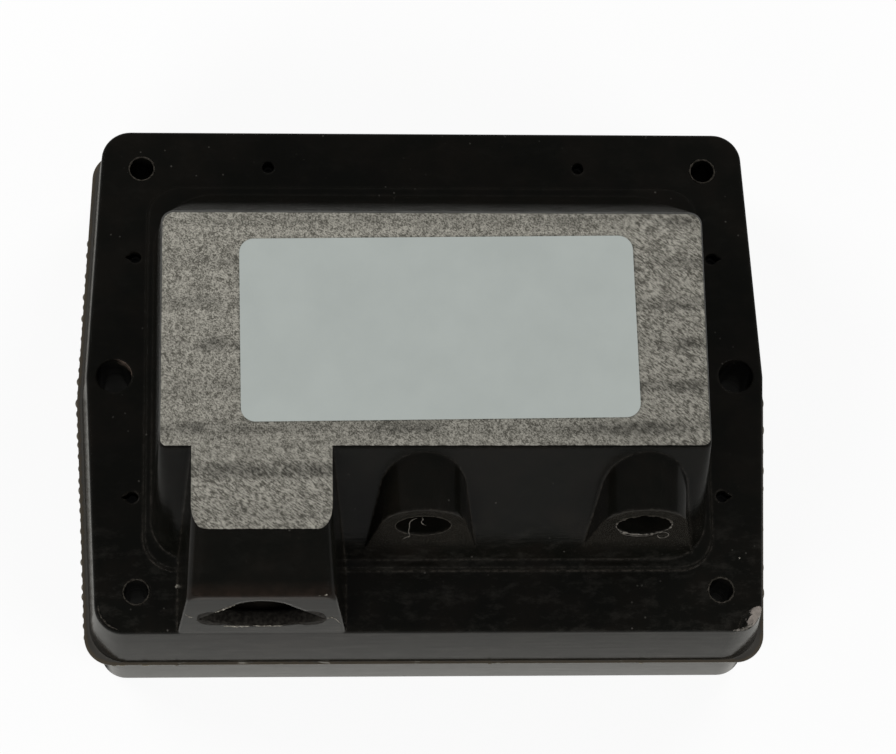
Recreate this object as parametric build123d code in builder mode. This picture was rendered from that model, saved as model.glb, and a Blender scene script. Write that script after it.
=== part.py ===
from build123d import *
import os
from math import acos, atan2, cos, degrees, hypot, radians, sin, tan

os.makedirs("parts", exist_ok=True)

# Base of the housing: a flange, the skirt under it, and the lower half below the mould's parting line
flange_length = 125.0  # at the corners
flange_bow = 2.5  # how much further each end stands out at mid-depth
flange_depth = 100.4
flange_corner_radius = 5.5
flange_edge_round = 0.9
flange_thickness = 4.0
skirt_height = 17.5
skirt_flare = 1.8
lower_height = 12.5
lower_length = 125.2  # at the corners
lower_depth = 104.4
lower_corner_radius = 5.0
wall = 3.5

# Thin fin of flash that stands out all round at the parting line
flash_thickness = 0.5
flash_reach_x = 0.95
flash_reach_y = 0.45

# Screw holes and the shallow blind holes of the flange
corner_hole_inset_x = 7.5  # from the flange's edges
corner_hole_inset_y = 7.8
corner_hole_diameter = 4.8
corner_pillar_diameter = 11.2
end_hole_inset = 5.3
end_hole_diameter = 6.6
end_pillar_diameter = 9.8
blind_diameter = 2.3
blind_depth = 2.5
blind_tail = 2.0  # from the centre of an end mark to its point
end_blind_inset = 6.5
end_blind_pitch = 48.1
back_blind_inset = 7.4
back_blind_pitch = 60.8

# Raised block, on a low plinth
plinth_height = 1.0
plinth_margin = 1.4
plinth_corner_radius = 6.5
plinth_edge_chamfer = 0.4
block_height = 28.9
block_length = 100.3
block_depth = 45.4
block_slope = 26.5
block_draft = 4.5
block_back_radius = 2.2
block_front_radius = 1.2
block_foot_back_radius = 12.0
block_foot_front_radius = 8.0
block_edge_chamfer = 0.3

# Hood over the mains terminals
hood_end_inset = 18.55  # from the block's left-hand end to the hood's middle
hood_width = 25.4
hood_draft = 5.9
hood_nose_depth = 10.8  # from the top of the hood's face to its tip
hood_face_height = 21.8
hood_face_lean = 3.9
hood_corner_round = 2.8
hood_edge_round = 0.6
hood_wall = 3.0
cable_opening_width = 23.5
cable_opening_sill = 4.0
cable_opening_shoulder = 4.3
cable_opening_height = 15.2
cable_opening_crown = 8.0
cable_opening_crown_rise = 1.4

# High-voltage outlet towers and their sockets
hood_tower_pitch = 29.6
tower_end_inset = 11.35  # from the block's right-hand end to the right tower
tower_overhang = 11.4
tower_axis_height = 16.3
tower_radius = 7.85
tower_crown_lift = 0.4  # of the arch's centre over the socket's
tower_cone = 0.8
tower_tilt = 15.5
tower_face_lean = 4.5
tower_foot_width = 22.2
socket_diameter = 10.3
socket_depth = 12.0
throat_diameter = 8.0
throat_depth = 8.0
socket_wall = 2.0

# Rating label
label_length = 72.8
label_width = 35.2
label_thickness = 0.15
label_corner_radius = 2.7
label_x = 0.8
label_y = 0.05
label_turn = 0.7

# Laminated core, its strap and the shunts
stack_height = 20.0
limb_width = 16.0
leg_width = 8.0
core_rise = 11.0
core_end_gap = 2.55  # from the strap to the block's end walls
strap_width = 8.0
strap_thickness = 0.6
shunt_width = 5.0
shunt_paper = 0.4

# Coils on the centre limb
primary_length = 23.0
secondary_chambers = 3
coil_gap = 0.6
bobbin_clearance = 0.15
bobbin_wall = 1.2
bobbin_flange = 1.2
bobbin_lip = 0.4
winding_build = 6.0
winding_corner_radius = 3.0
tape_thickness = 0.4
winding_clearance = 0.1

# Contacts, blades and leads
contact_stem_diameter = 2.4
contact_barb_diameter = 3.6
contact_barbs = 3
contact_barb_length = 2.0
contact_tip_length = 1.4
contact_collar_diameter = 7.0
contact_collar_thickness = 1.0
contact_stud_diameter = 2.0
contact_stud_length = 2.0
fit_clearance = 0.05
blade_width = 6.3
blade_thickness = 0.8
blade_reach = 8.0
blade_pitch = 7.2
blade_tail_length = 3.0
blade_tail_width = 2.2
blade_tip_chamfer = 1.05
blade_hole_diameter = 1.6
blade_hole_setback = 5.3
blade_rise = 13.0
carrier_clearance = 0.1
carrier_thickness = 2.0
chamber_depth = 19.1  # from the hood's face to the back of the carrier
carrier_rib_reach = 6.0
carrier_rib_thickness = 1.2
lead_diameter = 1.4
lead_bend_radius = 1.6
lead_drop = 4.25
lead_landing_spread = 11.5
lead_landing_setback = 4.0
hv_lead_diameter = 1.8
hv_lead_bend_radius = 2.2
landing_run = 5.0
lead_start_run = 4.0
potting_recess = 1.2

# Chip knocked off the flange's top rim at the front right corner
chip_radius = 7.0
chip_depth = 1.4
chip_tilt = 55.0

# Heights and places that follow from the sizes above
flange_top = lower_height + skirt_height
block_top = flange_top + block_height
flange_front = -flange_depth / 2
corner_pitch_x = flange_length - 2 * corner_hole_inset_x
corner_pitch_y = flange_depth - 2 * corner_hole_inset_y
end_hole_pitch = flange_length + 2 * (flange_bow - end_hole_inset)
end_blind_x = flange_length / 2 - end_blind_inset
back_blind_y = flange_depth / 2 - back_blind_inset
block_front = -block_depth / 2
block_spread_y = block_height * tan(radians(block_slope))
block_spread_x = block_height * tan(radians(block_draft))
tower_face = block_front - tower_overhang
socket_height = flange_top + tower_axis_height
hood_x = hood_end_inset - block_length / 2
towers = {"left": hood_x + hood_tower_pitch, "right": block_length / 2 - tower_end_inset}
socket_step = tower_face + socket_depth
socket_floor = socket_step + throat_depth
socket_back = socket_floor + socket_wall

tube_build = bobbin_clearance + bobbin_wall
wound_build = tube_build + winding_build
taped_build = wound_build + tape_thickness
lip_build = taped_build + bobbin_lip
window_depth = lip_build + coil_gap
core_length = block_length - 2 * (wall + core_end_gap + strap_thickness)
window_length = core_length - 2 * leg_width
secondary_length = (window_length - primary_length - shunt_width - 5 * coil_gap) / 2
core_depth = limb_width + 2 * window_depth + 2 * leg_width
core_mid = core_rise + stack_height / 2
coil_top = core_mid + stack_height / 2 + taped_build
primary_start = -window_length / 2 + coil_gap
shunt_start = primary_start + primary_length + coil_gap
secondary_starts = {"left": shunt_start + shunt_width + coil_gap}
secondary_starts["right"] = secondary_starts["left"] + secondary_length + coil_gap

hood_face_top = flange_front + hood_face_height * tan(radians(hood_face_lean))
hood_tip = hood_face_top + hood_nose_depth
carrier_floor = flange_top + hood_wall - carrier_thickness
carrier_back = hood_face_top + chamber_depth
hood_cavity_back = max(block_front, carrier_back)
blade_height = flange_top + blade_rise


def base_outline(height, length, depth, corner_radius, grow=0.0):
    """Six-sided outline of the base, its two ends bowed out, its edges moved out by grow."""
    half_length = length / 2
    half_depth = depth / 2
    apex = half_length + flange_bow
    with BuildSketch(Plane.XY.offset(height)) as outline:
        with BuildLine():
            Polyline(
                (half_length, -half_depth),
                (apex, 0),
                (half_length, half_depth),
                (-half_length, half_depth),
                (-apex, 0),
                (-half_length, -half_depth),
                close=True,
            )
        make_face()
        corners = outline.vertices().filter_by(lambda v: abs(v.Y) > half_depth / 2)
        fillet(corners, corner_radius)
        if grow:
            offset(amount=grow, kind=Kind.INTERSECTION)
    return outline.sketch


def flange_outline(height, grow):
    """Outline of the flange, its edges moved out by grow."""
    return base_outline(height, flange_length, flange_depth, flange_corner_radius, grow)


def block_outline(height, inset):
    """Rounded outline of the raised block at a height, its walls moved in by inset."""
    share = (block_top - height) / block_height
    half_length = block_length / 2 + share * block_spread_x - inset
    half_depth = block_depth / 2 + share * block_spread_y - inset / cos(radians(block_slope))
    back_radius = block_back_radius + share * (block_foot_back_radius - block_back_radius)
    front_radius = block_front_radius + share * (block_foot_front_radius - block_front_radius)
    with BuildSketch(Plane.XY.offset(height)) as outline:
        Rectangle(2 * half_length, 2 * half_depth)
        fillet(outline.vertices().group_by(Axis.Y)[-1], back_radius)
        fillet(outline.vertices().group_by(Axis.Y)[0], front_radius)
    return outline.sketch


def hood_form(inset, floor, back):
    """Sloping-nosed hood from a floor height and a back plane, its walls moved in by inset."""
    low = floor - inset
    foot = flange_front + (low - flange_top) * tan(radians(hood_face_lean))
    half_width = hood_width / 2 - inset / cos(radians(hood_draft))
    with BuildPart() as form:
        with BuildSketch(Plane.YZ.offset(hood_x)):
            with BuildLine():
                Polyline(
                    (back + inset, low),
                    (foot, low),
                    (hood_face_top, flange_top + hood_face_height),
                    (hood_tip, block_top),
                    (back + inset, block_top),
                    close=True,
                )
            make_face()
            if inset:
                offset(amount=-inset, kind=Kind.INTERSECTION)
        extrude(amount=hood_width, both=True)
        for side in (-1, 1):
            lean = (side * cos(radians(hood_draft)), 0, sin(radians(hood_draft)))
            edge = (hood_x + side * half_width, 0, block_top)
            split(bisect_by=Plane(origin=edge, z_dir=lean), keep=Keep.BOTTOM)
    return form.part


def tower_arch(reach, centre_x):
    """Arch profile of an outlet tower, on the upright plane that lies reach ahead of the origin."""
    setback = -tower_face - reach
    radius = tower_radius + setback * tan(radians(tower_cone))
    centre_z = socket_height + tower_crown_lift + setback * tan(radians(tower_tilt))
    half_foot = tower_foot_width / 2
    drop = centre_z - flange_top
    start = atan2(-drop, half_foot) + acos(radius / hypot(drop, half_foot))
    with BuildSketch(Plane.XZ.offset(reach)) as arch:
        with BuildLine():
            crown = CenterArc((centre_x, centre_z), radius, degrees(start), 180 - 2 * degrees(start))
            Line(crown @ 1, (centre_x - half_foot, flange_top))
            Line((centre_x - half_foot, flange_top), (centre_x + half_foot, flange_top))
            Line((centre_x + half_foot, flange_top), crown @ 0)
        make_face()
    return arch.sketch


def tower_form(centre_x):
    """Outlet tower: an arch that widens and rises into the block, with a leaning front face."""
    with BuildPart() as form:
        ahead = tower_arch(-tower_face + 2 * wall, centre_x)
        behind = tower_arch(-block_front, centre_x)
        loft(sections=[ahead, behind])
        lean = (0, -cos(radians(tower_face_lean)), sin(radians(tower_face_lean)))
        face_point = (centre_x, tower_face, socket_height)
        split(bisect_by=Plane(origin=face_point, z_dir=lean), keep=Keep.BOTTOM)
    return form.part


# The space inside the shell: under the flange, in the block and in the hood, around the pillars and sockets
with BuildPart() as cavity:
    extrude(flange_outline(0, -wall), amount=flange_top - flange_thickness)
    block_mouth = block_outline(flange_top - flange_thickness, wall)
    loft(sections=[block_mouth, block_outline(block_top - wall, wall)], ruled=True)
    add(hood_form(hood_wall, 0, hood_cavity_back))
    with BuildSketch():
        with GridLocations(corner_pitch_x, corner_pitch_y, 2, 2):
            Circle(corner_pillar_diameter / 2)
        with GridLocations(end_hole_pitch, 0, 2, 1):
            Circle(end_pillar_diameter / 2)
    extrude(amount=flange_top, mode=Mode.SUBTRACT)
    for tower_x in towers.values():
        for diameter, end in ((socket_diameter, socket_step + wall), (throat_diameter, socket_back)):
            with BuildSketch(Plane.XZ.offset(-end)):
                with Locations((tower_x, socket_height)):
                    Circle(diameter / 2 + socket_wall)
            extrude(amount=end - tower_face, mode=Mode.SUBTRACT)

# Hood with its softened nose
with BuildPart() as hood:
    add(hood_form(0, flange_top - 2 * flange_edge_round, block_front + wall))
    nose_edges = hood.edges().filter_by(
        lambda e: flange_top + hood_face_height < e.center().Z < block_top - block_edge_chamfer
        and abs(e.center().X - hood_x) > hood_width / 4
        and hood_face_top < e.center().Y < hood_tip
    )
    fillet(nose_edges, hood_corner_round)
    side_edges = hood.edges().filter_by(
        lambda e: e.center().Z > flange_top
        and e.center().Y < hood_tip
        and abs(e.center().X - hood_x) > hood_width / 4
    )
    fillet(side_edges, hood_edge_round)

# Outline of the torn-out cable opening, on an upright plane ahead of the hood
opening_plane = Plane(
    origin=(hood_x, flange_front - wall, flange_top + cable_opening_sill),
    x_dir=(1, 0, 0),
    z_dir=(0, -1, 0),
)
with BuildSketch(opening_plane) as cable_opening:
    with BuildLine():
        half_opening = cable_opening_width / 2
        half_crown = cable_opening_crown / 2
        crown_foot = cable_opening_height - cable_opening_crown_rise
        left_tip = (-half_opening, cable_opening_shoulder)
        right_tip = (half_opening, cable_opening_shoulder)
        sill = ThreePointArc(left_tip, (0, 0), right_tip)
        crown_top = (0, cable_opening_height)
        crown = ThreePointArc((-half_crown, crown_foot), crown_top, (half_crown, crown_foot))
        Line(sill @ 0, crown @ 0)
        Line(sill @ 1, crown @ 1)
    make_face()

# Low plinth that the block rises from
with BuildPart() as plinth:
    with BuildSketch(Plane.XY.offset(flange_top - flange_thickness / 2)):
        RectangleRounded(
            block_length + 2 * (block_spread_x + plinth_margin),
            block_depth + 2 * (block_spread_y + plinth_margin),
            plinth_corner_radius,
        )
    extrude(amount=flange_thickness / 2 + plinth_height)
    chamfer(plinth.faces().sort_by(Axis.Z)[-1].edges(), plinth_edge_chamfer)

# Raised block with its outlet towers
with BuildPart() as block:
    block_shoulder = block_outline(block_top - block_edge_chamfer, 0)
    block_lid = block_outline(block_top, block_edge_chamfer)
    loft(sections=[block_outline(flange_top, 0), block_shoulder, block_lid], ruled=True)
    for tower_x in towers.values():
        add(tower_form(tower_x))

# Housing: one moulding
with BuildPart() as housing:
    loft(sections=[flange_outline(lower_height, skirt_flare), flange_outline(flange_top, 0)], ruled=True)
    fillet(housing.faces().sort_by(Axis.Z)[-1].edges(), flange_edge_round)
    extrude(base_outline(0, lower_length, lower_depth, lower_corner_radius), amount=lower_height)
    flash_length = flange_length + 2 * (skirt_flare + flash_reach_x)
    flash_depth = flange_depth + 2 * (skirt_flare + flash_reach_y)
    flash_start = lower_height - flash_thickness / 2
    flash_outline = base_outline(flash_start, flash_length, flash_depth, flange_corner_radius)
    extrude(flash_outline, amount=flash_thickness)
    add(plinth)
    add(block)
    add(hood)
    add(cavity, mode=Mode.SUBTRACT)
    extrude(cable_opening.sketch, amount=flange_front - wall - hood_tip, mode=Mode.SUBTRACT)
    for tower_x in towers.values():
        for diameter, floor in ((socket_diameter, socket_step), (throat_diameter, socket_floor)):
            with BuildSketch(Plane.XZ.offset(-floor)):
                with Locations((tower_x, socket_height)):
                    Circle(diameter / 2)
            extrude(amount=floor - tower_face + wall, mode=Mode.SUBTRACT)
        with BuildSketch(Plane.XZ.offset(-socket_back)):
            with Locations((tower_x, socket_height)):
                Circle(contact_stem_diameter / 2 + fit_clearance)
        extrude(amount=socket_wall, mode=Mode.SUBTRACT)
    with BuildSketch():
        with GridLocations(corner_pitch_x, corner_pitch_y, 2, 2):
            Circle(corner_hole_diameter / 2)
        with GridLocations(end_hole_pitch, 0, 2, 1):
            Circle(end_hole_diameter / 2)
    extrude(amount=flange_top, mode=Mode.SUBTRACT)
    with BuildSketch(Plane.XY.offset(flange_top)):
        with GridLocations(2 * end_blind_x, end_blind_pitch, 2, 2):
            Circle(blind_diameter / 2)
        with Locations((-back_blind_pitch / 2, back_blind_y), (back_blind_pitch / 2, back_blind_y)):
            Circle(blind_diameter / 2)
        for side in (-1, 1):
            mark_x = side * end_blind_x
            with Locations((mark_x, -end_blind_pitch / 2), (mark_x, end_blind_pitch / 2)):
                Polygon(
                    (0, -blind_diameter / 2),
                    (side * blind_tail, 0),
                    (0, blind_diameter / 2),
                    align=None,
                )
    extrude(amount=-blind_depth, mode=Mode.SUBTRACT)
    corner_share = cos(radians(45))
    rim_x = flange_length / 2 - flange_corner_radius * (1 - corner_share)
    rim_y = flange_front + flange_corner_radius * (1 - corner_share)
    chip_reach = (chip_radius - chip_depth) * cos(radians(chip_tilt)) * corner_share
    chip_z = flange_top + (chip_radius - chip_depth) * sin(radians(chip_tilt))
    with Locations((rim_x + chip_reach, rim_y - chip_reach, chip_z)):
        Sphere(chip_radius, mode=Mode.SUBTRACT)
housing.part.label = "housing"
export_step(housing.part, "parts/housing.step")

# Rating label, left unprinted
label_plane = Plane.XY.offset(block_top) * Location((label_x, label_y, 0), (0, 0, label_turn))
with BuildPart() as rating_label:
    with BuildSketch(label_plane):
        RectangleRounded(label_length, label_width, label_corner_radius)
    extrude(amount=label_thickness)
rating_label.part.label = "rating_label"
export_step(rating_label.part, "parts/rating_label.step")

# Core: E stack with its back and three limbs, and the I stack that closes it
with BuildPart() as core_e_stack:
    with BuildSketch(Plane.XY.offset(core_rise)):
        Rectangle(core_length, core_depth)
        with Locations((leg_width / 2, 0)):
            Rectangle(core_length - leg_width, core_depth - 2 * leg_width, mode=Mode.SUBTRACT)
        Rectangle(window_length, limb_width)
        with Locations((core_length / 2, 0)):
            Rectangle(2 * leg_width, core_depth, mode=Mode.SUBTRACT)
    extrude(amount=stack_height)
core_e_stack.part.label = "core_e_stack"
export_step(core_e_stack.part, "parts/core_e_stack.step")

with BuildPart() as core_i_stack:
    with BuildSketch(Plane.XY.offset(core_rise)):
        with Locations(((core_length - leg_width) / 2, 0)):
            Rectangle(leg_width, core_depth)
    extrude(amount=stack_height)
core_i_stack.part.label = "core_i_stack"
export_step(core_i_stack.part, "parts/core_i_stack.step")

# Steel band round both stacks
with BuildPart() as core_strap:
    with BuildSketch(Plane.XY.offset(core_mid - strap_width / 2)):
        Rectangle(core_length + 2 * strap_thickness, core_depth + 2 * strap_thickness)
        Rectangle(core_length, core_depth, mode=Mode.SUBTRACT)
    extrude(amount=strap_width)
core_strap.part.label = "core_strap"
export_step(core_strap.part, "parts/core_strap.step")

# Leakage shunts in both windows, held off the core by papers that set their air gap
for name, side in (("front", -1), ("back", 1)):
    with BuildPart() as shunt:
        with BuildSketch(Plane.XY.offset(core_rise)):
            with Locations((shunt_start + shunt_width / 2, side * (limb_width + window_depth) / 2)):
                Rectangle(shunt_width, window_depth - 2 * shunt_paper)
        extrude(amount=stack_height)
    shunt.part.label = f"shunt_stack_{name}"
    export_step(shunt.part, f"parts/shunt_stack_{name}.step")

with BuildPart() as shunt_gap_papers:
    inner_paper = (limb_width + shunt_paper) / 2
    outer_paper = limb_width / 2 + window_depth - shunt_paper / 2
    with BuildSketch(Plane.XY.offset(core_rise)):
        for paper_y in (-outer_paper, -inner_paper, inner_paper, outer_paper):
            with Locations((shunt_start + shunt_width / 2, paper_y)):
                Rectangle(shunt_width, shunt_paper)
    extrude(amount=stack_height)
shunt_gap_papers.part.label = "shunt_gap_papers"
export_step(shunt_gap_papers.part, "parts/shunt_gap_papers.step")


def limb_ring(start, length, inner, outer, inner_radius=0.0, outer_radius=0.0):
    """Ring round the centre limb, between two distances from its surface."""
    with BuildPart() as ring:
        with BuildSketch(Plane.YZ.offset(start)) as section:
            with Locations((0, core_mid)):
                outside = (outer, outer_radius, Mode.ADD)
                inside = (inner, inner_radius, Mode.SUBTRACT)
                for reach, radius, mode in (outside, inside):
                    across = limb_width + 2 * reach
                    high = stack_height + 2 * reach
                    if radius:
                        RectangleRounded(across, high, radius, mode=mode)
                    else:
                        Rectangle(across, high, mode=mode)
        extrude(amount=length)
    return ring.part


def coil_set(name, start, length, chambers):
    """Bobbin, winding and outer tape of one coil, with its winding in equal chambers."""
    chamber = (length - (chambers + 1) * bobbin_flange) / chambers
    with BuildPart() as bobbin:
        add(limb_ring(start, length, bobbin_clearance, tube_build))
        for index in range(chambers + 1):
            flange_start = start + index * (chamber + bobbin_flange)
            if index in (0, chambers):
                add(limb_ring(flange_start, bobbin_flange, bobbin_clearance, lip_build))
            else:
                partition = limb_ring(
                    flange_start, bobbin_flange, bobbin_clearance, wound_build, 0, winding_corner_radius
                )
                add(partition)
    with BuildPart() as winding:
        for index in range(chambers):
            turn_start = start + bobbin_flange + index * (chamber + bobbin_flange) + winding_clearance
            turn_length = chamber - 2 * winding_clearance
            turns = limb_ring(turn_start, turn_length, tube_build, wound_build, 0, winding_corner_radius)
            add(turns)
    with BuildPart() as tape:
        tape_start = start + bobbin_flange + winding_clearance
        tape_length = length - 2 * (bobbin_flange + winding_clearance)
        tape_radius = winding_corner_radius + tape_thickness
        wrap = limb_ring(
            tape_start, tape_length, wound_build, taped_build, winding_corner_radius, tape_radius
        )
        add(wrap)
    first, _, side = name.partition("_")
    for piece, made in (("bobbin", bobbin), ("winding", winding), ("tape", tape)):
        node = "_".join(word for word in (first, piece, side) if word)
        made.part.label = node
        export_step(made.part, f"parts/{node}.step")
    with BuildPart() as envelope:
        add(limb_ring(start, length, 0, taped_build, 0, winding_corner_radius + tape_thickness))
        add(limb_ring(start, bobbin_flange, 0, lip_build))
        add(limb_ring(start + length - bobbin_flange, bobbin_flange, 0, lip_build))
    return envelope.part


coil_envelopes = [coil_set("primary", primary_start, primary_length, 1)]
for side, start in secondary_starts.items():
    coil_envelopes.append(coil_set(f"secondary_{side}", start, secondary_length, secondary_chambers))


def round_lead(points, diameter, bend_radius):
    """Insulated wire along straight runs joined by arcs."""
    with BuildPart() as lead:
        with BuildLine() as route:
            FilletPolyline(*points, radius=bend_radius)
        with BuildSketch(Plane(origin=route.line @ 0, z_dir=route.line % 0)):
            Circle(diameter / 2)
        sweep(path=route.line)
    return lead.part


# High-voltage contacts, barbed to bite into the cable's core, and the leads to them
embedded = []
for side, tower_x in towers.items():
    with BuildPart() as hv_contact:
        floor_point = (tower_x, socket_floor, socket_height)
        contact_plane = Plane(origin=floor_point, x_dir=(0, -1, 0), z_dir=(0, 0, 1))
        with BuildSketch(contact_plane):
            stem = contact_stem_diameter / 2
            collar_start = -socket_wall - contact_collar_thickness
            profile = [
                (collar_start - contact_stud_length, 0),
                (collar_start - contact_stud_length, contact_stud_diameter / 2),
                (collar_start, contact_stud_diameter / 2),
                (collar_start, contact_collar_diameter / 2),
                (-socket_wall, contact_collar_diameter / 2),
                (-socket_wall, stem),
                (0, stem),
            ]
            for barb in range(contact_barbs):
                profile.append((barb * contact_barb_length, contact_barb_diameter / 2))
                profile.append(((barb + 1) * contact_barb_length, stem))
            profile.append((contact_barbs * contact_barb_length + contact_tip_length, 0))
            with BuildLine():
                Polyline(*profile, close=True)
            make_face()
        revolve(axis=Axis(floor_point, (0, -1, 0)))
    hv_contact.part.label = f"hv_contact_{side}"
    export_step(hv_contact.part, f"parts/hv_contact_{side}.step")
    embedded.append(hv_contact.part)

    stud_end = socket_back + contact_collar_thickness + contact_stud_length
    landing_x = secondary_starts[side] + secondary_length / 2
    landing_y = stud_end + 2 * landing_run
    hv_lead = round_lead(
        [
            (tower_x, stud_end, socket_height),
            (tower_x, stud_end + landing_run, socket_height),
            (landing_x, landing_y, socket_height),
            (landing_x, landing_y, coil_top),
        ],
        hv_lead_diameter,
        hv_lead_bend_radius,
    )
    hv_lead.label = f"hv_lead_{side}"
    export_step(hv_lead, f"parts/hv_lead_{side}.step")
    embedded.append(hv_lead)

# Terminal carrier: floor and back wall of the hood's chamber, with ribs between the blades
blade_seat = carrier_back - carrier_thickness
with BuildPart() as terminal_carrier:
    add(hood_form(hood_wall + carrier_clearance, carrier_floor, carrier_back))
    add(hood_form(0, carrier_floor + carrier_thickness, blade_seat), mode=Mode.SUBTRACT)
    rib_plane = Plane.XY.offset(carrier_floor + carrier_thickness)
    with BuildSketch(rib_plane):
        for side in (-1, 1):
            with Locations((hood_x + side * blade_pitch / 2, blade_seat - carrier_rib_reach / 2)):
                Rectangle(carrier_rib_thickness, carrier_rib_reach)
    extrude(amount=blade_height + blade_width / 2 - carrier_floor - carrier_thickness)
    with BuildSketch(Plane.XZ.offset(-carrier_back)):
        for step in (-1, 0, 1):
            with Locations((hood_x + step * blade_pitch, blade_height)):
                Rectangle(blade_thickness + 2 * fit_clearance, blade_tail_width + 2 * fit_clearance)
    extrude(amount=carrier_thickness, mode=Mode.SUBTRACT)
terminal_carrier.part.label = "terminal_carrier"
export_step(terminal_carrier.part, "parts/terminal_carrier.step")

# Mains blades, shouldered on the carrier's back wall, and their leads
blade_end = carrier_back + blade_tail_length
core_top = core_rise + stack_height
primary_middle = primary_start + primary_length / 2
coil_approach = coil_top + lead_drop
landing_spread = lead_landing_spread / 2
landings = {
    "earth": (-1, hood_x - blade_pitch, 0, core_top, blade_height),
    "live": (0, primary_middle - landing_spread, -lead_landing_setback, coil_top, coil_approach),
    "neutral": (1, primary_middle + landing_spread, -lead_landing_setback, coil_top, coil_approach),
}
for pole, (step, landing_x, landing_y, landing_z, approach) in landings.items():
    blade_x = hood_x + step * blade_pitch
    with BuildPart() as blade:
        with BuildSketch(Plane.YZ.offset(blade_x - blade_thickness / 2)) as outline:
            with Locations((blade_seat - blade_reach / 2, blade_height)):
                Rectangle(blade_reach, blade_width)
            chamfer(outline.vertices().group_by(Axis.X)[0], blade_tip_chamfer)
            with Locations(((blade_seat + blade_end) / 2, blade_height)):
                Rectangle(blade_end - blade_seat, blade_tail_width)
            with Locations((blade_seat - blade_hole_setback, blade_height)):
                Circle(blade_hole_diameter / 2, mode=Mode.SUBTRACT)
        extrude(amount=blade_thickness)
    blade.part.label = f"{pole}_blade"
    export_step(blade.part, f"parts/{pole}_blade.step")
    embedded.append(blade.part)

    route = [
        (blade_x, blade_end, blade_height),
        (landing_x, landing_y, approach),
        (landing_x, landing_y, landing_z),
    ]
    if landing_x != blade_x:
        route.insert(1, (blade_x, blade_end + lead_start_run, blade_height))
    lead = round_lead(route, lead_diameter, lead_bend_radius)
    lead.label = f"{pole}_lead"
    export_step(lead, f"parts/{pole}_lead.step")
    embedded.append(lead)

# Filling resin: all that is left of the shell's inside, up to a little below the rim
with BuildPart() as potting_compound:
    add(cavity)
    split(bisect_by=Plane.XY.offset(potting_recess), keep=Keep.TOP)
    add(hood_form(hood_wall, carrier_floor, carrier_back), mode=Mode.SUBTRACT)
    with BuildSketch(Plane.XY.offset(core_rise)):
        Rectangle(core_length, core_depth)
    extrude(amount=stack_height, mode=Mode.SUBTRACT)
    add(core_strap, mode=Mode.SUBTRACT)
    add(coil_envelopes, mode=Mode.SUBTRACT)
    add(embedded, mode=Mode.SUBTRACT)
potting_compound.part.label = "potting_compound"
export_step(potting_compound.part, "parts/potting_compound.step")
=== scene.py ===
from math import cos, pi, radians, sin, tan
from random import Random

import bpy
from mathutils import Matrix, Vector


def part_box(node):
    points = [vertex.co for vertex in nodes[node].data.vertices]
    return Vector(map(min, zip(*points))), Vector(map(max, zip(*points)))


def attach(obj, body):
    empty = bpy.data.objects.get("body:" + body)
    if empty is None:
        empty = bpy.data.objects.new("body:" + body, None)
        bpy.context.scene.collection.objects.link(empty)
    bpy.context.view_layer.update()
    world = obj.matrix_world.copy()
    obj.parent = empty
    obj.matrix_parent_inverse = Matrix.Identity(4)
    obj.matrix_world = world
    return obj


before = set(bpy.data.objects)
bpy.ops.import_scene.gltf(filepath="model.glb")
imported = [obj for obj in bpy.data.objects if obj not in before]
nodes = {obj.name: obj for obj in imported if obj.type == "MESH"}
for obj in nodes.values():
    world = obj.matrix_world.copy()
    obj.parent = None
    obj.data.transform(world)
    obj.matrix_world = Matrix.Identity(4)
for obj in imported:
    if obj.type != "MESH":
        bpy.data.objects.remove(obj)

bpy.ops.object.select_all(action="DESELECT")
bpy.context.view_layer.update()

# Laminated core: an E stack and the I stack that closes it, each some forty electrical steel
# sheets with an oxide skin, held together by a cold-rolled steel band.
lamination = 0.0005
core_colour = (0.16, 0.165, 0.175)
core_gap_colour = (0.035, 0.033, 0.03)
strap_colour = (0.42, 0.42, 0.41)


def new_material(name, colour, roughness, metallic=0.0, coat=0.0):
    """A node material with its plain values on the shader's own sockets."""
    made = bpy.data.materials.new(name)
    made.use_nodes = True
    shader = made.node_tree.nodes["Principled BSDF"]
    shader.inputs["Base Color"].default_value = (*colour, 1)
    shader.inputs["Roughness"].default_value = roughness
    shader.inputs["Metallic"].default_value = metallic
    shader.inputs["Coat Weight"].default_value = coat
    return made


def node(made, kind, values=None, **properties):
    """A shader node whose inputs are set to values or linked to other nodes' outputs."""
    added = made.node_tree.nodes.new("ShaderNode" + kind)
    for key, value in properties.items():
        setattr(added, key, value)
    for socket, value in (values or {}).items():
        if isinstance(value, bpy.types.NodeSocket):
            made.node_tree.links.new(value, added.inputs[socket])
        else:
            added.inputs[socket].default_value = value
    return added


def to_shader(made, **links):
    """Links outputs to the shader's sockets, an underscore standing for a space."""
    shader = made.node_tree.nodes["Principled BSDF"]
    for socket, output in links.items():
        made.node_tree.links.new(output, shader.inputs[socket.replace("_", " ")])


def grain(made, size, detail=3.0, stretch=(1, 1, 1), turn=0.0, rough=0.55):
    """Noise whose features are size metres across, stretched along its own turned axes."""
    place = node(made, "TexCoord").outputs["Object"]
    turned = node(made, "Mapping", {"Vector": place, "Rotation": (0, 0, turn)})
    scale = tuple(1 / s for s in stretch)
    pulled = node(made, "Mapping", {"Vector": turned.outputs["Vector"], "Scale": scale})
    values = {"Vector": pulled.outputs["Vector"], "Scale": 1 / size, "Detail": detail, "Roughness": rough}
    return node(made, "TexNoise", values).outputs["Fac"]


def spread(made, value, low, high, to_low=0.0, to_high=1.0):
    """The value, mapped from low..high to other limits and held there."""
    values = {"Value": value, "From Min": low, "From Max": high, "To Min": to_low, "To Max": to_high}
    return node(made, "MapRange", values).outputs["Result"]


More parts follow.
